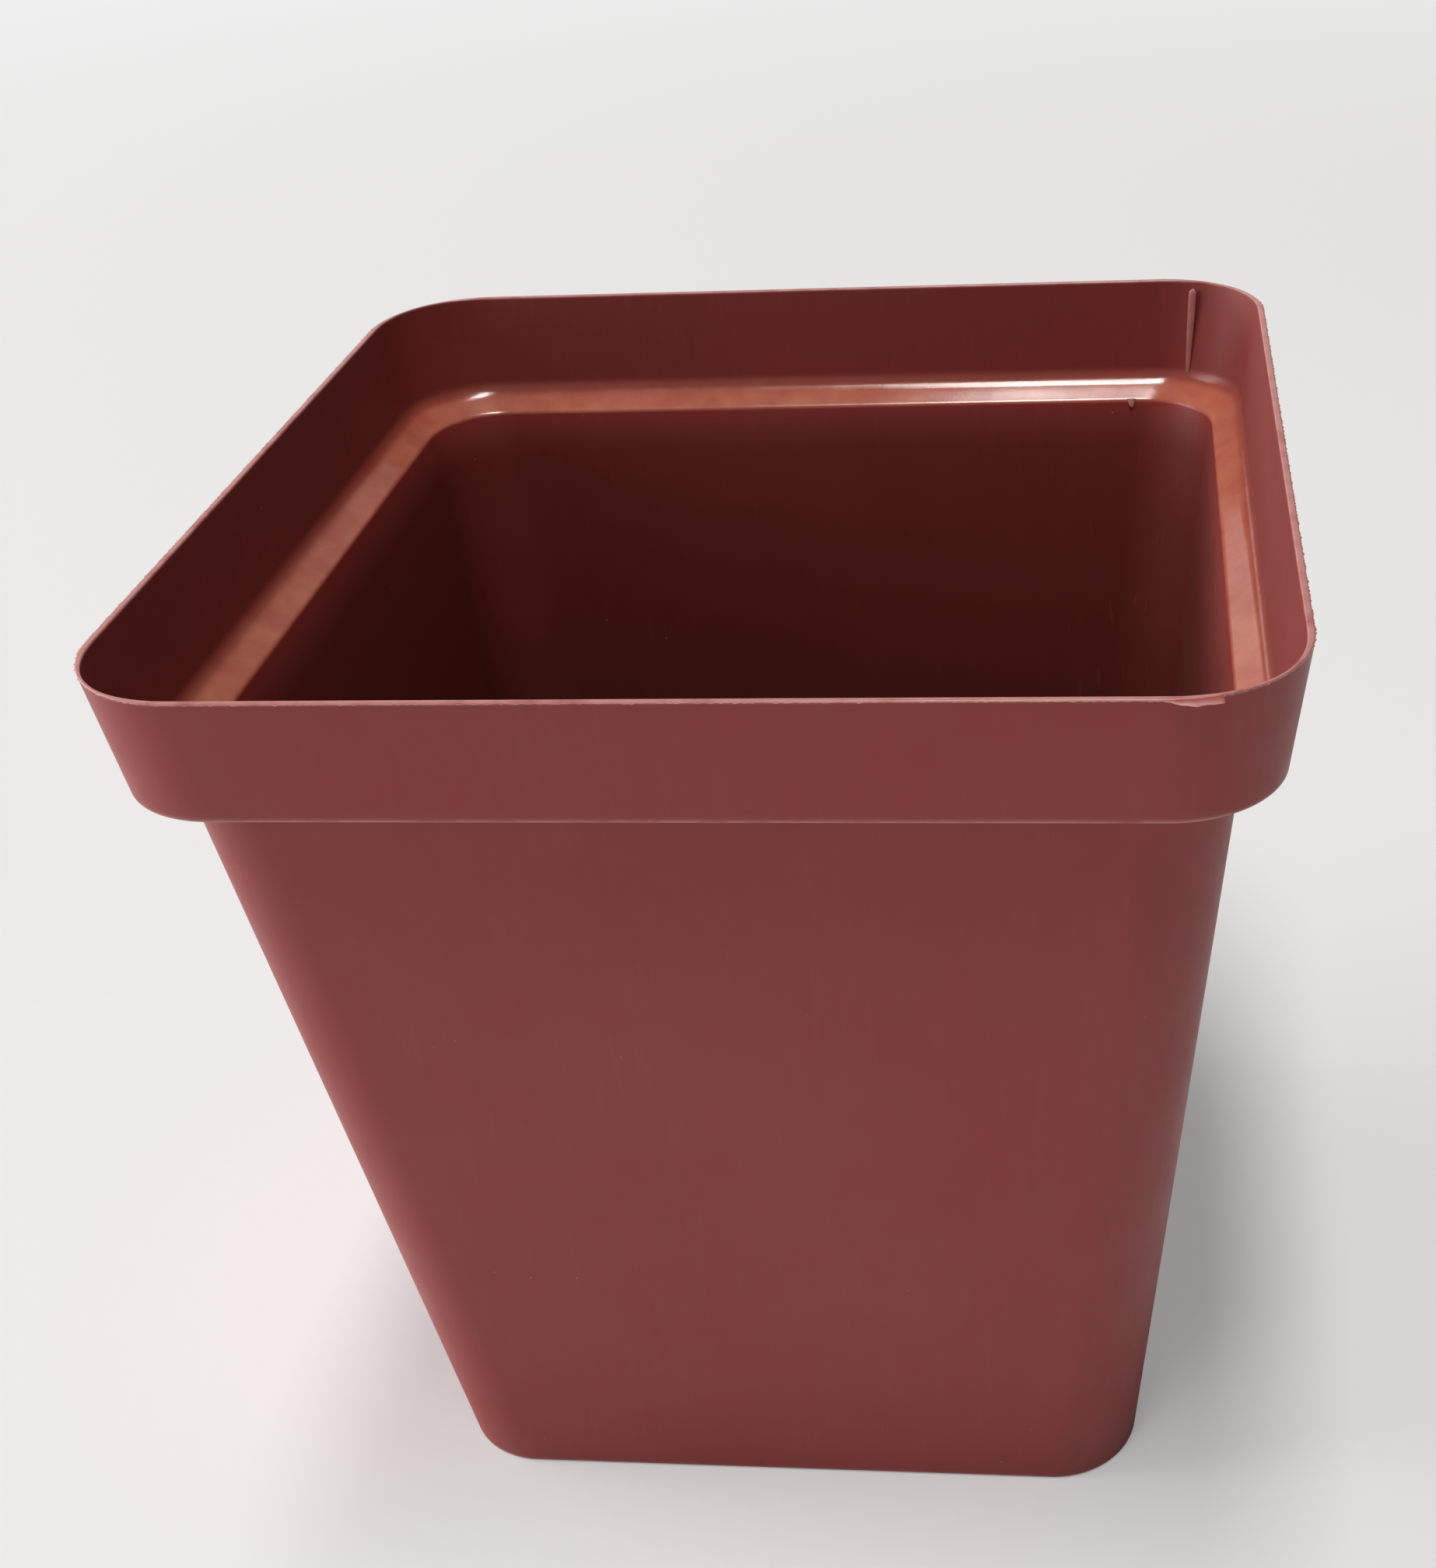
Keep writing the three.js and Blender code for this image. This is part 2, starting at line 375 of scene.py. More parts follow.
def square_path(turn):
    """Centre x, centre y and facing angle of points on a rounded square.

    turn counts stretches from the start of the right side: an even stretch is a side, where the
    facing angle stays and the arc centre slides from one corner to the next, and an odd one is a
    corner, where the centre stays and the angle turns a quarter. A point of the square is then
    centre * (half - corner) + corner * (cos angle, sin angle).
    """
    knots = np.arange(9)
    centre_x = np.interp(turn, knots, (1, 1, 1, -1, -1, -1, -1, 1, 1))
    centre_y = np.interp(turn, knots, (-1, 1, 1, 1, 1, -1, -1, -1, -1))
    facing = np.interp(turn, knots, (0, 0, 1, 1, 2, 2, 3, 3, 4)) * QUARTER
    return centre_x, centre_y, facing


def carry_round(half, height, corner, turn):
    """Section values carried round the square. The arrays broadcast, and gain x, y and z at the end."""
    centre_x, centre_y, facing = square_path(turn)
    x = centre_x * (half - corner) + corner * np.cos(facing)
    y = centre_y * (half - corner) + corner * np.sin(facing)
    return np.stack(np.broadcast_arrays(x, y, height), axis=-1)


def even_turns(half, corner, count):
    """Turns of points spaced evenly along a rounded square, and how far each is past the front side."""
    stretches = np.tile([2 * (half - corner), corner * QUARTER], 4)
    marks = np.concatenate([[0], np.cumsum(stretches)])
    run = np.linspace(0, marks[-1], count, endpoint=False)
    return np.interp(run, marks, np.arange(9)), run - marks[FRONT + 1]


# Sunk sides and thinned lip


def wall_sink(size, height, turn):
    """How far the sides sink in: a half sine wave up the body, and a squared one along each side."""
    rise = np.clip(height / (size.height - size.band_height), 0, 1)
    along = np.where(turn.astype(int) % 2 == 0, turn % 1, 0)
    return size.wall_sink * np.sin(math.pi * rise) * np.sin(math.pi * along) ** 2


def lip_thinning(size, half, height, turn):
    """How far the band's inner face draws back from its full thickness.

    It grows evenly from the crease up to the lip, and from the outer face to the inner one. Round a
    corner it grows and shrinks again as a squared half sine wave does.
    """
    lip, crease, _ = band_lines(size)
    lean = (lip[0] - crease[0]) / (lip[1] - crease[1])
    outer = size.rim_width / 2 - (size.height - height) * lean
    inwards = np.clip((outer - half) / size.band_wall, 0, 1)
    upwards = np.clip((height - crease[1]) / (lip[1] - crease[1]), 0, 1)
    in_corner = np.where(turn.astype(int) % 2 == 1, np.sin(math.pi * (turn % 1)) ** 2, 0)
    return inwards * upwards * (size.lip_thin + size.corner_thin * in_corner)


# Meshes from grids

WALL_SEAM = 0.003 * MM
FLASH_SEAM = 0.0005 * MM


def grid_quads(rows, columns, first=0):
    """Four-cornered faces of a grid that closes on itself along its columns."""
    here = np.arange(columns)
    after = (here + 1) % columns
    low = np.arange(rows - 1)[:, None] * columns + first
    high = low + columns
    return np.stack([low + here, low + after, high + after, high + here], axis=2).reshape(-1, 4)


def mesh_object(name, points, quads, attributes=None):
    """A smooth mesh object from arrays of points and quads, with float values on its points."""
    mesh = bpy.data.meshes.new(name)
    mesh.vertices.add(len(points))
    mesh.vertices.foreach_set("co", points.astype(np.float32).ravel())
    mesh.loops.add(quads.size)
    mesh.loops.foreach_set("vertex_index", quads.astype(np.int32).ravel())
    mesh.polygons.add(len(quads))
    mesh.polygons.foreach_set("loop_start", np.arange(0, quads.size, 4, dtype=np.int32))
    mesh.polygons.foreach_set("use_smooth", np.ones(len(quads), dtype=bool))
    for label, values in (attributes or {}).items():
        layer = mesh.attributes.new(label, "FLOAT", "POINT")
        layer.data.foreach_set("value", values.astype(np.float32))
    mesh.update(calc_edges=True)
    made = bpy.data.objects.new(name, mesh)
    bpy.context.scene.collection.objects.link(made)
    return made


def close_seams(made, gap):
    """Joins the points where two grids meet."""
    shape = bmesh.new()
    shape.from_mesh(made.data)
    bmesh.ops.remove_doubles(shape, verts=shape.verts, dist=gap)
    bmesh.ops.dissolve_degenerate(shape, edges=shape.edges, dist=gap)
    shape.to_mesh(made.data)
    shape.free()


def join_grids(grids):
    """Points, quads and surface values of several grids. Each comes with the values of its own."""
    points = []
    quads = []
    values = {label: [] for label in SURFACE}
    made = 0
    for grid, given in grids:
        rows, columns = grid.shape[:2]
        points.append(grid.reshape(-1, 3))
        quads.append(grid_quads(rows, columns, made))
        for label, usual in SURFACE.items():
            value = np.asarray(given.get(label, usual), float)
            values[label].append(np.broadcast_to(value, (rows, columns)).ravel())
        made += rows * columns
    joined = {label: np.concatenate(parts) for label, parts in values.items()}
    return np.concatenate(points), np.concatenate(quads), joined


# Floor with drain holes

AXIS_STEPS = 20
FLAT_STEPS = 9
ROLL_STEPS = 5
STUB_SIDES = 48


def floor_quarter(quarter, under, top, size):
    """One quarter of the floor: a sheet from its underside through its drain hole to its top.

    under and top are the floor's two edge rings between the middles of two sides. The quarter's
    outline is that stretch of ring and two straight lines to the pot's axis. Each point of the
    outline sends a ray to the hole: the sheet follows the ray in, rolls over the hole's edge along
    a quarter circle, runs through the bore and comes out the same way on the other face.
    """
    turn = (quarter + 0.5) * QUARTER
    hole = np.array([math.cos(turn), math.sin(turn)]) * size.hole_spacing / math.sqrt(2)
    radius = size.hole_diameter / 2
    edge = size.hole_round
    inward = np.linspace(1, 0, AXIS_STEPS, endpoint=False)[1:, None]
    ease = np.linspace(1, 0, FLAT_STEPS)[:, None]
    roll = np.linspace(0, QUARTER, ROLL_STEPS)[1:, None]
    faces = ((under, size.floor_rise, 1), (top, size.floor_rise + size.floor_thickness, -1))
    sheets = []
    for ring, height, into in faces:
        ends = ring[[-1, 0], :2]
        spokes = [ends[0] * inward, np.zeros((1, 2)), ends[1] * inward[::-1]]
        outline = np.concatenate([ring[:, :2], *spokes])
        reach = np.linalg.norm(outline - hole, axis=1)
        ray = (outline - hole) / reach[:, None]
        flat = radius + edge + (reach - radius - edge) * ease
        bend = radius + edge * (1 - np.sin(roll)) + np.zeros_like(reach)
        distance = np.concatenate([flat, bend])
        lift = np.concatenate([np.zeros(FLAT_STEPS), into * edge * (1 - np.cos(roll[:, 0]))])
        plane = hole + ray * distance[:, :, None]
        level = np.broadcast_to((height + lift)[:, None, None], (*distance.shape, 1))
        sheets.append(np.concatenate([plane, level], axis=2))
    return np.concatenate([sheets[0], sheets[1][::-1]])[::-1]


def gate_stub(size):
    """The injection stub: a profile turned about the pot's axis, with a pip where it broke off."""
    radius = size.gate_diameter / 2
    low = size.floor_rise - size.gate_height
    profile = np.array(
        [
            (0, low - 0.35 * MM),
            (0.45 * MM, low - 0.32 * MM),
            (0.7 * MM, low - 0.2 * MM),
            (0.9 * MM, low),
            (radius - 0.2 * MM, low),
            (radius - 0.06 * MM, low + 0.06 * MM),
            (radius, low + 0.2 * MM),
            (radius, size.floor_rise + 0.3 * MM),
            (0, size.floor_rise + 0.3 * MM),
        ]
    )
    turn = np.linspace(0, 4 * QUARTER, STUB_SIDES, endpoint=False)
    x = profile[:, :1] * np.cos(turn)
    y = profile[:, :1] * np.sin(turn)
    return np.stack(np.broadcast_arrays(x, y, profile[:, 1:]), axis=2)


# Flash

LIP_POINTS = 2800
WAVE_COUNT = 60
WAVE_RANGE = (40, 700)
SCALLOPS = 3.5
DROOP_START = math.radians(6)
DROOP_RATE = math.radians(40) / MM
WITNESS_ROWS = 28
WITNESS_SPAN = (0.06, 0.97)
BURR_ROWS = 14
BURR_HALF_WIDTH = 0.5 * MM
BURR_HALF_THICKNESS = 0.09 * MM
BURR_CURL = 0.4 * MM
BURR_TWIST = 0.12 * MM


def flash_width(flash, past):
    """How far the flash stands out along the lip.

    The usual trim is a sum of sine waves with whole counts round the lip, so that it closes, of
    which only the upper half shows. The flap at the front right corner rises along a smooth step,
    is cut by scallops that follow the size of a cosine, and ends at once.
    """
    draw = np.random.default_rng(flash.seed)
    waves = draw.integers(*WAVE_RANGE, WAVE_COUNT)[:, None]
    phase = draw.uniform(0, 4 * QUARTER, WAVE_COUNT)[:, None]
    turns = np.linspace(0, 1, len(past), endpoint=False)
    swing = np.sin(4 * QUARTER * waves * turns + phase).sum(0) / 5.5
    ragged = flash.trim * (0.55 + 0.5 * np.clip(swing, -0.6, 2.2))
    along = (past - flash.flap_start) / (flash.flap_end - flash.flap_start)
    rise = np.clip(along / 0.55, 0, 1)
    scallop = 0.82 + 0.18 * np.abs(np.cos(SCALLOPS * math.pi * along))
    flap = flash.flap * rise * rise * (3 - 2 * rise) * scallop
    return ragged + np.where((along > 0) & (along < 1), flap, 0)


def lip_flash(size, flash):
    """The flash round the lip: a thin fin that leaves the outer edge and droops the further it goes.

    At distance s along the fin its direction has sunk by start + rate * s, so its middle lies at
    s * cos(start + rate * s / 2) outwards and s * sin(start + rate * s / 2) down. Its thickness
    shrinks evenly to a third at the tip. The section runs out along its top and back below.
    """
    turn, past = even_turns(size.rim_width / 2, size.rim_corner, LIP_POINTS)
    width = flash_width(flash, past)
    share = np.array([0, 0.25, 0.5, 0.75, 0.95, 1])
    along = np.concatenate([share, share[::-1]])[:, None]
    side = np.repeat([1.0, -1.0], len(share))[:, None]
    s = along * (width + size.lip_round) - size.lip_round
    sunk = DROOP_START + DROOP_RATE * np.clip(s, 0, None) / 2
    thick = side * flash.thickness / 2 * (1 - 0.66 * along)
    out = s * np.cos(sunk) + thick * np.sin(2 * sunk)
    drop = s * np.sin(sunk) - thick * np.cos(2 * sunk)
    root = 0.3 * size.lip_round
    half = size.rim_width / 2 - root + out
    corner = size.rim_corner - root + out
    fin = carry_round(half, size.height - root - flash.thickness / 4 - drop, corner, turn)
    grid = np.concatenate([fin, fin[:1]]).transpose(1, 0, 2)
    wear_and_highlight = np.concatenate([along, along[:1]]).T
    # The fin's pale share grows towards the tip: partly trim marks, partly a painted highlight on its
    # edge
    return np.concatenate([grid, grid[:1]])[:, :-1], 0.15 + 0.7 * wear_and_highlight[:, :-1] ** 3


def witness_line(size, flash):
    """The low ridge in the band's back right corner, from the lip down to the ledge.

    Across, the ridge is a parabola on a flat foot that is sunk into the wall. Downwards its width
    and height shrink evenly to two fifths, and both ends run out to a point as the eighth root of
    a half sine wave does.
    """
    lip, crease, _ = (np.array(line) for line in band_lines(size))
    t = np.linspace(*WITNESS_SPAN, WITNESS_ROWS)[:, None]
    half, height, corner = (lip + (crease - lip) * t).T[:, :, None]
    turn = BACK - flash.witness_turn / QUARTER
    facing = square_path(turn)[2]
    place = carry_round(half, height, corner, turn)
    run = np.linspace(0, 1, WITNESS_ROWS)[1:-1]
    swell = np.pad(np.sin(math.pi * run) ** 0.125, 1)[:, None] * (1 - 0.6 * t)
    ridge = np.linspace(-1, 1, 9)
    across = np.concatenate([ridge, [0.5, -0.5]])
    hump = np.concatenate([0.12 * (1 - ridge**2), [-0.25, -0.25]]) * flash.witness_width
    along = np.array([-math.sin(facing), math.cos(facing), 0])
    inward = np.array([-math.cos(facing), -math.sin(facing), 0])
    shift = (across * swell)[:, :, None] * along * flash.witness_width / 2
    return place + shift + (hump * swell)[:, :, None] * inward


def ledge_burr(size, flash):
    """The burr under the back ledge: a flake that narrows as a square root does and curls inwards.

    Its first and last rows have no width, so that both ends are closed.
    """
    _, _, nose = band_lines(size)
    t = np.pad(np.linspace(0, 0.999, BURR_ROWS), 1, mode="edge")[:, None]
    spread = np.pad(np.ones(BURR_ROWS), 1)[:, None]
    turn = np.linspace(0, 4 * QUARTER, 12, endpoint=False)
    wide = spread * BURR_HALF_WIDTH * np.sqrt(1 - t)
    thick = spread * BURR_HALF_THICKNESS * (1 - 0.6 * t)
    twist = spread * BURR_TWIST * t
    x = flash.burr_place + wide * np.cos(turn)
    y = nose[0] + 0.05 * MM - BURR_CURL * t + thick * np.sin(turn)
    z = nose[1] + 0.1 * MM - flash.burr_drop * t + twist * np.sin(2 * turn)
    return np.stack([x, y, z], axis=2)[::-1]


# Materials

MATT_ROUGHNESS = 0.62
POLISHED_ROUGHNESS = 0.2
WHITENED_AND_HIGHLIGHT_ROUGHER = 0.05
RUBBED_SMOOTHER = 0.1
PLASTIC_IOR = 1.49
PLAIN_FROM = 0.25
PLAIN_BEYOND = 1.1


def add_node(tree, kind, inputs=None, **settings):
    """Adds a shader node, sets its options and fills its sockets with values or links."""
    made = tree.nodes.new(kind)
    for name, value in settings.items():
        setattr(made, name, value)
    for name, value in (inputs or {}).items():
        if isinstance(value, bpy.types.NodeSocket):
            tree.links.new(value, made.inputs[name])
        else:
            made.inputs[name].default_value = value
    return made


def noise(tree, place, scale, detail=2.0, roughness=0.5):
    """A noise value, about 0.5 on average."""
    inputs = {"Vector": place, "Scale": scale, "Detail": detail, "Roughness": roughness}
    return add_node(tree, "ShaderNodeTexNoise", inputs).outputs["Fac"]


def stretch(tree, place, scale, turn=(0, 0, 0)):
    """Coordinates turned and stretched along the axes, so that a pattern becomes streaks."""
    inputs = {"Vector": place, "Rotation": turn, "Scale": scale}
    return add_node(tree, "ShaderNodeMapping", inputs).outputs["Vector"]


def ramp(tree, value, low, high, out_low=0.0, out_high=1.0):
    """A smooth step of a value from one range to another."""
    inputs = {"Value": value, "From Min": low, "From Max": high, "To Min": out_low, "To Max": out_high}
    made = add_node(tree, "ShaderNodeMapRange", inputs, interpolation_type="SMOOTHSTEP")
    return made.outputs["Result"]


def arithmetic(tree, operation, a, b):
    """One step of arithmetic on two values."""
    return add_node(tree, "ShaderNodeMath", {0: a, 1: b}, operation=operation).outputs[0]


def times(tree, a, b):
    """The product of two values."""
    return arithmetic(tree, "MULTIPLY", a, b)


def blend_colours(tree, share, first, second):
    """A mix of two colours."""
    made = add_node(tree, "ShaderNodeMix", {0: share, 6: first, 7: second}, data_type="RGBA")
    return made.outputs[2]


def attribute(tree, label):
    """A float value stored on the mesh."""
    return add_node(tree, "ShaderNodeAttribute", attribute_name=label).outputs["Fac"]


def opaque(rgb):
    """A colour with full alpha."""
    return (*rgb, 1.0)


def new_material(name):
    """A material with an empty node tree and its output node."""
    made = bpy.data.materials.new(name)
    made.use_nodes = True
    tree = made.node_tree
    tree.nodes.clear()
    return made, tree, add_node(tree, "ShaderNodeOutputMaterial")


def mould_marks(tree, place, inside, polish):
    """Broad flow marks and upright drag marks, fainter on the inside and on polished faces."""
    flow = ramp(tree, noise(tree, place, 34, 3), 0.35, 0.75, 0, 0.45)
    drag = ramp(tree, noise(tree, stretch(tree, place, (900, 900, 9)), 1, 2), 0.5, 0.8, 0, 0.3)
    shown = times(tree, ramp(tree, polish, 0.45, 1, 1, 0.15), ramp(tree, inside, 0, 1, 1, 0.1))
    return times(tree, arithmetic(tree, "ADD", flow, drag), shown)


def fine_scratches(tree, place, polish):
    """Short slanting scratches in patches, fewer on polished faces."""
    slanted = stretch(tree, place, (1500, 1500, 45), (0.5, 0.9, 0.3))
    lines = ramp(tree, noise(tree, slanted, 1, 1), 0.70, 0.76)
    patches = ramp(tree, noise(tree, place, 60, 2), 0.45, 0.7, 0, 0.35)
    return times(tree, times(tree, lines, patches), ramp(tree, polish, 0.45, 1, 1, 0.1))


def dust_specks(tree, place):
    """A speck in the middle of a few cells of a fine pattern."""
    cells = add_node(tree, "ShaderNodeTexVoronoi", {"Vector": place, "Scale": 380.0}).outputs
    near = ramp(tree, cells["Distance"], 0.02, 0.06, 0.4, 0)
    return times(tree, near, ramp(tree, cells["Color"], 0.7, 0.76))


def plastic_bump(tree, place, scratch):
    """Fine grain on slow ripples, with the scratches cut in."""
    grain = times(tree, noise(tree, place, 3600, 2, 0.55), 0.3)
    height = arithmetic(tree, "ADD", grain, noise(tree, place, 110, 2))
    height = arithmetic(tree, "SUBTRACT", height, times(tree, scratch, 0.2))
    inputs = {"Strength": 0.3, "Distance": 0.06 * MM, "Height": height}
    return add_node(tree, "ShaderNodeBump", inputs).outputs["Normal"]


def plastic_roughness(tree, place, polish, rubbed_and_lit, whitening_and_highlight):
    """Roughness by polish, with scuffs. Pale edges are rougher and the pots' ledge smoother."""
    smooth = ramp(tree, polish, 0, 1, MATT_ROUGHNESS, POLISHED_ROUGHNESS)
    scuff = ramp(tree, noise(tree, place, 150, 4, 0.65), 0.3, 0.75, -0.03, 0.05)
    rough = arithmetic(tree, "ADD", smooth, scuff)
    rough = arithmetic(tree, "ADD", rough, times(tree, whitening_and_highlight, WHITENED_AND_HIGHLIGHT_ROUGHER))
    return arithmetic(tree, "SUBTRACT", rough, times(tree, rubbed_and_lit, RUBBED_SMOOTHER))


def moulded_plastic(finish):
    """Satin polypropylene. Its colour is a stack of layers, each blended over the ones before it.

    The deep layer is painted shade; the ledge's and the pale edges' layers are partly painted light.
    """
    made, tree, output = new_material("terracotta_plastic")
    place = add_node(tree, "ShaderNodeTexCoord").outputs["Object"]
    wear_and_highlight, inside, rubbed_and_lit, polish = (attribute(tree, label) for label in SURFACE)
    scratch = fine_scratches(tree, place, polish)
    ledge_patchiness = ramp(tree, noise(tree, place, 240, 3, 0.6), 0.2, 0.8, 0.3, 0.62)
    patchy = ramp(tree, noise(tree, place, 420, 3, 0.6), 0.2, 0.6, 0.35, 1)
    whitening_and_highlight = times(tree, wear_and_highlight, patchy)
    layers = (
        # Painted shade inside the pot
        (inside, finish.plastic_painted_shade),
        (mould_marks(tree, place, inside, polish), finish.plastic_pale),
        (scratch, finish.plastic_pale),
        (dust_specks(tree, place), finish.dust),
        # Rubbing on the ledge, with painted light from above
        (times(tree, rubbed_and_lit, ledge_patchiness), finish.rubbed_and_lit),
        # Trim marks, with painted highlights on the lip, the band's lower edge and the flash's tip
        (whitening_and_highlight, finish.whitened_and_highlight),
    )
    body = opaque(finish.plastic)
    for share, over in layers:
        body = blend_colours(tree, share, body, opaque(over))
    inputs = {
        "Base Color": body,
        "Roughness": plastic_roughness(tree, place, polish, rubbed_and_lit, whitening_and_highlight),
        "Normal": plastic_bump(tree, place, scratch),
        "IOR": PLASTIC_IOR,
    }
    shader = add_node(tree, "ShaderNodeBsdfPrincipled", inputs)
    tree.links.new(shader.outputs[0], output.inputs["Surface"])
    return made


def pale_paper(studio):
    """Matt paper with a faint tooth.

    To the camera a share of it shows as a plain colour, and the share grows to the whole far off.
    """
    made, tree, output = new_material("pale_paper")
    place = add_node(tree, "ShaderNodeTexCoord").outputs["Object"]
    tooth = {"Strength": 0.1, "Distance": 0.1 * MM, "Height": noise(tree, place, 900, 3)}
    inputs = {
        "Base Color": opaque(studio.floor_colour),
        "Roughness": 0.9,
        "Specular IOR Level": 0.2,
        "Normal": add_node(tree, "ShaderNodeBump", tooth).outputs["Normal"],
    }
    shader = add_node(tree, "ShaderNodeBsdfPrincipled", inputs)
    plain = add_node(tree, "ShaderNodeEmission", {"Color": opaque(studio.floor_shown)})
    rays = add_node(tree, "ShaderNodeLightPath").outputs
    distance = add_node(tree, "ShaderNodeVectorMath", {0: place}, operation="LENGTH").outputs["Value"]
    plainness = ramp(tree, distance, PLAIN_FROM, PLAIN_BEYOND, studio.floor_plain, 1)
    share = times(tree, rays["Is Camera Ray"], plainness)
    both = add_node(tree, "ShaderNodeMixShader", {0: share, 1: shader.outputs[0], 2: plain.outputs[0]})
    tree.links.new(both.outputs[0], output.inputs["Surface"])
    return made


def plastic_of(scene):
    """The pot's plastic, made once and shared by all of its pieces."""
    return bpy.data.materials.get("terracotta_plastic") or moulded_plastic(scene.pot_finish)


# Operators


def finish_piece(context, made, seam):
    """Closes a piece's seams, gives it the plastic and lets it go with the pot."""
    close_seams(made, seam)
    made.data.materials.append(plastic_of(context.scene))
    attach(made, "root")
    return made


class POT_OT_moulding(bpy.types.Operator):
    """Build the moulded pot in place of its plain solid"""

    bl_idname = "pot.moulding"
    bl_label = "Moulded pot"

    def execute(self, context):
        size = context.scene.pot_sizes
        rows, wear_and_highlight = soften(moulding_section(size))
        half, height, corner = rows.T[:, :, None]
        turn = np.concatenate([k + np.arange(n) / n for k, n in enumerate(STRETCH_STEPS)])
        wall = carry_round(half, height, corner, turn)

        facing = square_path(turn)[2]
        outward = np.stack([np.cos(facing), np.sin(facing)], axis=-1)
        push = lip_thinning(size, half, height, turn) - wall_sink(size, height, turn)
        wall[:, :, :2] += push[:, :, None] * outward

        finish = {label: value[:, None] for label, value in inside_shade_and_finish(size, rows).items()}
        # Pale edge share: wear at the base, a painted highlight at the band's foot, and partly both on
        # the lip
        wear_and_highlight = np.maximum(wear_and_highlight, lip_wear_and_highlight(size, rows))[:, None]
        finish["wear_and_highlight"] = np.maximum(wear_and_highlight, crease_pale_line(size, rows, turn))
        grids = [(wall, finish)]

        starts = np.cumsum((0,) + STRETCH_STEPS)
        for quarter in range(4):
            side = 2 * quarter
            after = (side + 2) % 8
            begin = starts[side] + STRETCH_STEPS[side] // 2
            end = starts[side + 2] + STRETCH_STEPS[after] // 2
            picked = np.arange(begin, end + 1) % len(turn)
            sheet = floor_quarter(quarter, wall[0, picked], wall[-1, picked], size)
            topside = np.arange(len(sheet)) < len(sheet) / 2
            level = np.where(topside, FLOOR_POLISH, SURFACE["polish"])
            # The floor's top is painted shade, as the rest of the inside
            grids.append((sheet, {"inside": topside[:, None], "polish": level[:, None]}))
        grids.append((gate_stub(size), {}))

        pot = mesh_object("moulded_pot", *join_grids(grids))
        finish_piece(context, pot, WALL_SEAM)
        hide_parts("pot")
        return {"FINISHED"}


class POT_OT_flash(bpy.types.Operator):
    """Add what the mould leaves: the lip's flash, a witness line and a burr"""

    bl_idname = "pot.flash"
    bl_label = "Mould flash"

    def execute(self, context):
        size = context.scene.pot_sizes
        flash = context.scene.pot_flash
        fin, fin_wear_and_highlight = lip_flash(size, flash)
        pieces = {
            "lip_flash": (fin, {"wear_and_highlight": fin_wear_and_highlight, "polish": LIP_POLISH}),
            # The ridge is painted paler than the wall round it
            "witness_line": (witness_line(size, flash), {"wear_and_highlight": 0.4, "inside": 0.2, "polish": 0.5}),
            "ledge_burr": (ledge_burr(size, flash), {"wear_and_highlight": 0.6, "inside": 0.2, "polish": 1}),
        }
        for name, grid in pieces.items():
            finish_piece(context, mesh_object(name, *join_grids([grid])), FLASH_SEAM)
        return {"FINISHED"}


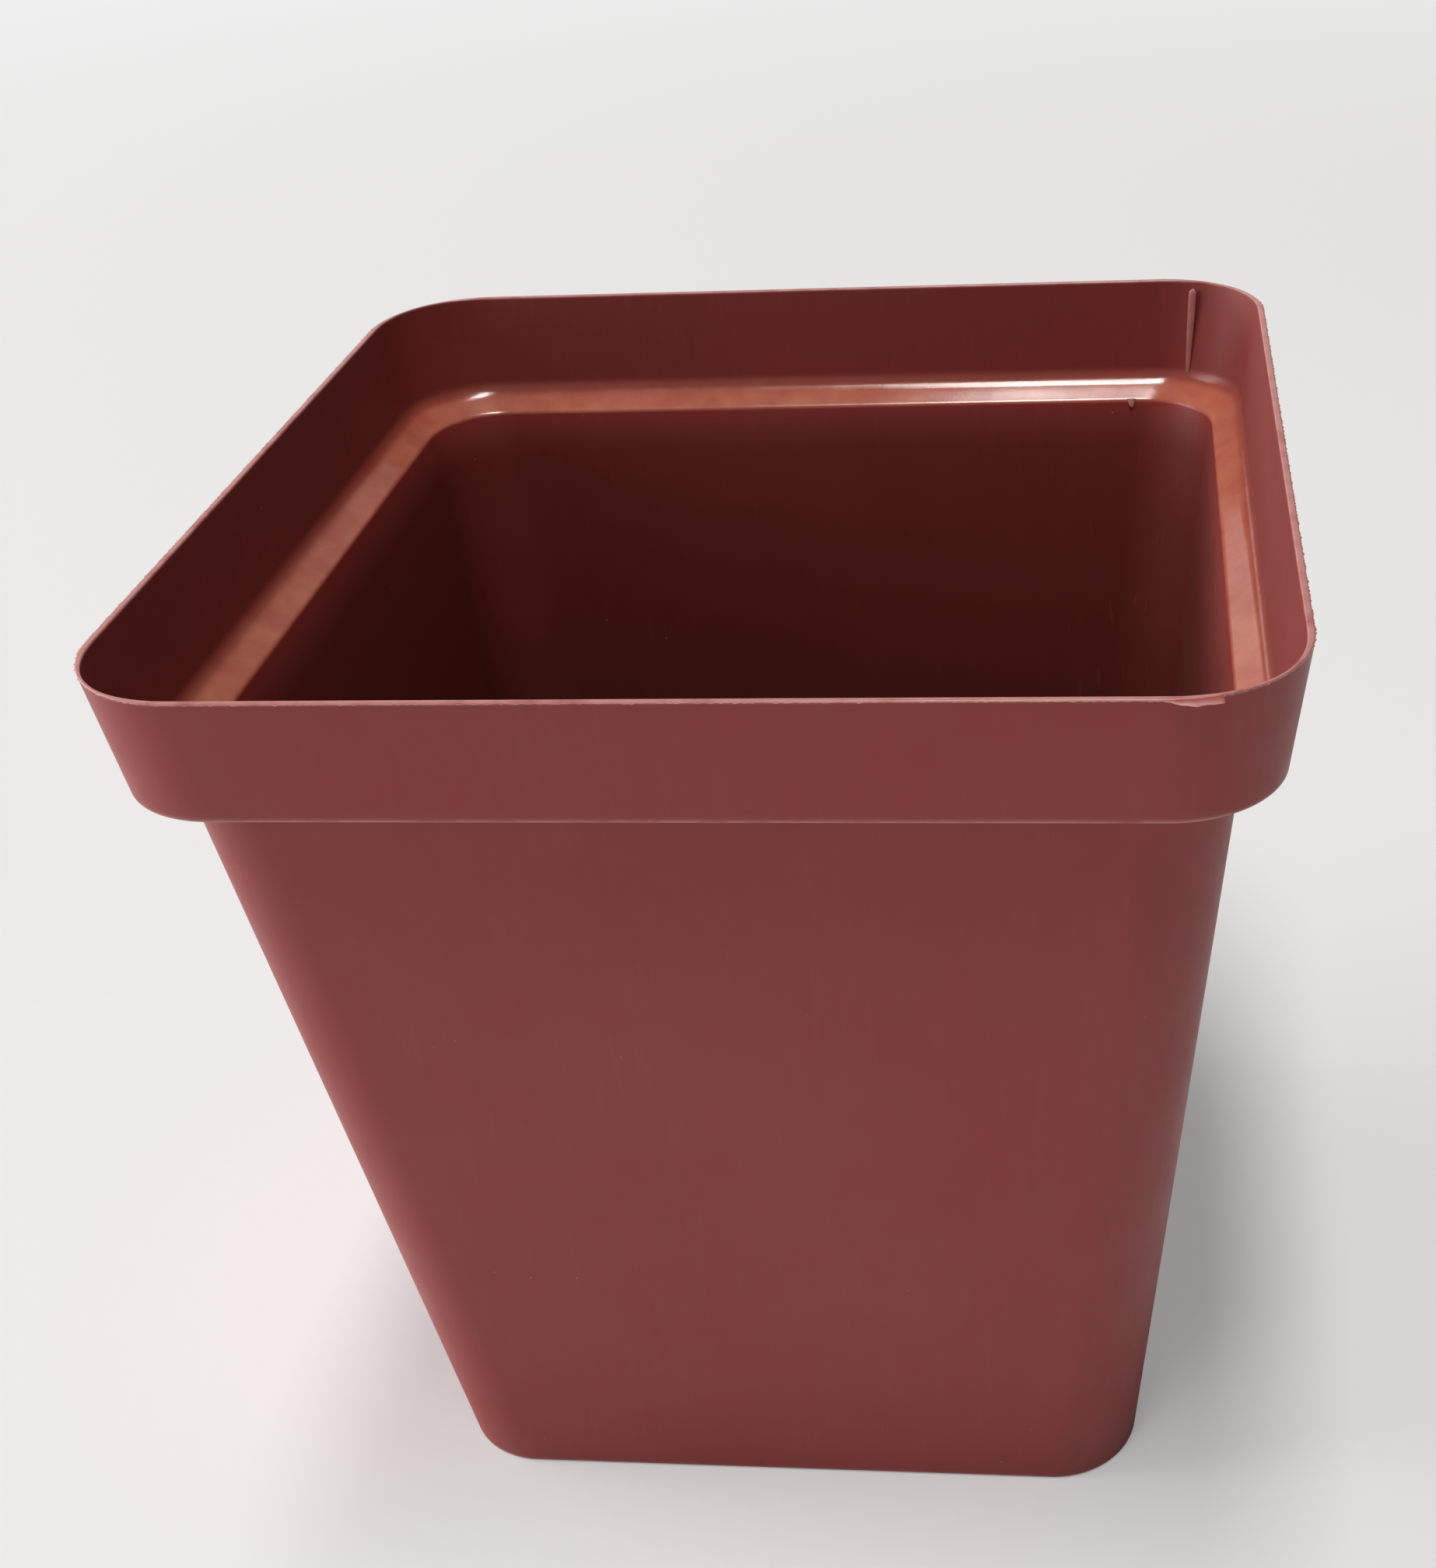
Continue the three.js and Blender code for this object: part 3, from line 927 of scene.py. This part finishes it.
class POT_OT_stage(bpy.types.Operator):
    """Lay the paper, set the lights and stand the camera"""

    bl_idname = "pot.stage"
    bl_label = "Studio"

    # Name, place, width, depth, watts and tint
    LAMPS = (
        ("ceiling_panel", (-0.02, -0.30, 2.2), 0.34, 1.2, 34.0, (1, 0.98, 0.95)),
        ("high_window", (-2.0, -0.2, 1.5), 1.2, 1.2, 16.0, (1, 1, 1)),
        ("low_window", (-2.4, 0.4, 0.5), 2.4, 0.6, 44.0, (1, 1, 1)),
        ("far_lamp", (-0.04, 0.62, 2.2), 0.2, 0.25, 2.3, (1, 1, 1)),
    )
    AIM = (0, 0, 0.05)
    ROOM_GLOW = 0.02
    CEILING_GLOW = 0.15
    RIGHT_GLOW = 0.1
    FLOOR_REACH = 8.0
    FLOOR_DROP = 0.02 * MM
    SENSOR_WIDTH = 36
    NEAREST_SEEN = 5 * MM

    def lay_paper(self, studio):
        """A wide sheet of paper, just under the pot."""
        corners = np.array([(-1, -1, 0), (1, -1, 0), (1, 1, 0), (-1, 1, 0)]) * self.FLOOR_REACH
        corners[:, 2] -= self.FLOOR_DROP
        paper = mesh_object("paper_floor", corners, np.array([[0, 1, 2, 3]]))
        paper.data.materials.append(pale_paper(studio))

    def hang_lamp(self, scene, name, place, width, depth, watts, tint):
        """A lamp with a flat, oblong face that is turned to the pot. The camera doesn't see it."""
        lamp = bpy.data.lights.new(name, "AREA")
        lamp.shape = "RECTANGLE"
        lamp.size = width
        lamp.size_y = depth
        lamp.energy = watts
        lamp.color = tint
        made = bpy.data.objects.new(name, lamp)
        scene.collection.objects.link(made)
        made.location = place
        made.visible_camera = False
        made.rotation_euler = (Vector(self.AIM) - Vector(place)).to_track_quat("-Z", "Y").to_euler()

    def light_room(self, scene, studio):
        """The lamps, in a room that gives little light by itself.

        What the camera or a shiny face sees of the room is pale and darkens upwards. In reflections it
        darkens to the right too.
        """
        world = bpy.data.worlds.new("studio_air")
        world.use_nodes = True
        tree = world.node_tree
        tree.nodes.clear()
        rays = add_node(tree, "ShaderNodeLightPath").outputs
        shown = arithmetic(tree, "MAXIMUM", rays["Is Camera Ray"], rays["Is Glossy Ray"])
        shown = arithmetic(tree, "MAXIMUM", shown, rays["Is Transmission Ray"])
        white = opaque((1, 1, 1))
        glow = add_node(tree, "ShaderNodeBackground", {"Color": white, "Strength": self.ROOM_GLOW})
        direction = add_node(tree, "ShaderNodeTexCoord").outputs["Generated"]
        axes = add_node(tree, "ShaderNodeSeparateXYZ", {0: direction}).outputs
        backdrop = ramp(tree, axes["Z"], 0.15, 0.75, studio.floor_shown[0], self.CEILING_GLOW)
        dim = ramp(tree, axes["X"], -0.2, 0.6, 1, self.RIGHT_GLOW)
        dim = arithmetic(tree, "MAXIMUM", dim, rays["Is Camera Ray"])
        backdrop = times(tree, backdrop, dim)
        seen = add_node(tree, "ShaderNodeBackground", {"Color": white, "Strength": backdrop})
        both = add_node(tree, "ShaderNodeMixShader", {0: shown, 1: glow.outputs[0], 2: seen.outputs[0]})
        add_node(tree, "ShaderNodeOutputWorld", {"Surface": both.outputs[0]})
        scene.world = world
        for lamp in self.LAMPS:
            self.hang_lamp(scene, *lamp)

    def stand_camera(self, scene, studio):
        """The camera. A shift of the lens puts its axis on the given pixel of the photograph."""
        lens = bpy.data.cameras.new("photo_lens")
        lens.lens = studio.lens
        lens.sensor_width = self.SENSOR_WIDTH
        lens.shift_x = (PHOTO_WIDTH / 2 - studio.axis_x) / PHOTO_HEIGHT
        lens.shift_y = (studio.axis_y - PHOTO_HEIGHT / 2) / PHOTO_HEIGHT
        lens.clip_start = self.NEAREST_SEEN
        camera = bpy.data.objects.new("photo_camera", lens)
        scene.collection.objects.link(camera)
        turn = (
            Matrix.Rotation(-studio.camera_pan, 4, "Z")
            @ Matrix.Rotation(QUARTER - studio.camera_tilt, 4, "X")
            @ Matrix.Rotation(studio.camera_roll, 4, "Z")
        )
        camera.matrix_world = Matrix.Translation(studio.camera_place) @ turn
        scene.camera = camera

    def execute(self, context):
        scene = context.scene
        studio = scene.pot_studio
        scene.view_settings.view_transform = "Standard"
        self.lay_paper(studio)
        self.light_room(scene, studio)
        self.stand_camera(scene, studio)
        return {"FINISHED"}


class POT_PT_tools(bpy.types.Panel):
    """The pot's steps and sizes"""

    bl_idname = "POT_PT_tools"
    bl_label = "Square training pot"
    bl_space_type = "VIEW_3D"
    bl_region_type = "UI"
    bl_category = "Pot"

    def draw(self, context):
        scene = context.scene
        for operator in OPERATORS:
            self.layout.operator(operator.bl_idname)
        for group in (scene.pot_sizes, scene.pot_flash, scene.pot_finish, scene.pot_studio):
            column = self.layout.column()
            for name in group.__annotations__:
                column.prop(group, name)


OPERATORS = (POT_OT_moulding, POT_OT_flash, POT_OT_stage)
GROUPS = {
    "pot_sizes": PotSizes,
    "pot_flash": PotFlash,
    "pot_finish": PotFinish,
    "pot_studio": PotStudio,
}
CLASSES = (*GROUPS.values(), *OPERATORS, POT_PT_tools)


def register():
    for made in CLASSES:
        bpy.utils.register_class(made)
    for name, group in GROUPS.items():
        setattr(bpy.types.Scene, name, PointerProperty(type=group))


def unregister():
    for name in GROUPS:
        delattr(bpy.types.Scene, name)
    for made in reversed(CLASSES):
        bpy.utils.unregister_class(made)


def main():
    register()
    bpy.ops.pot.moulding()
    bpy.ops.pot.flash()
    bpy.ops.pot.stage()


if __name__ == "__main__":
    main()
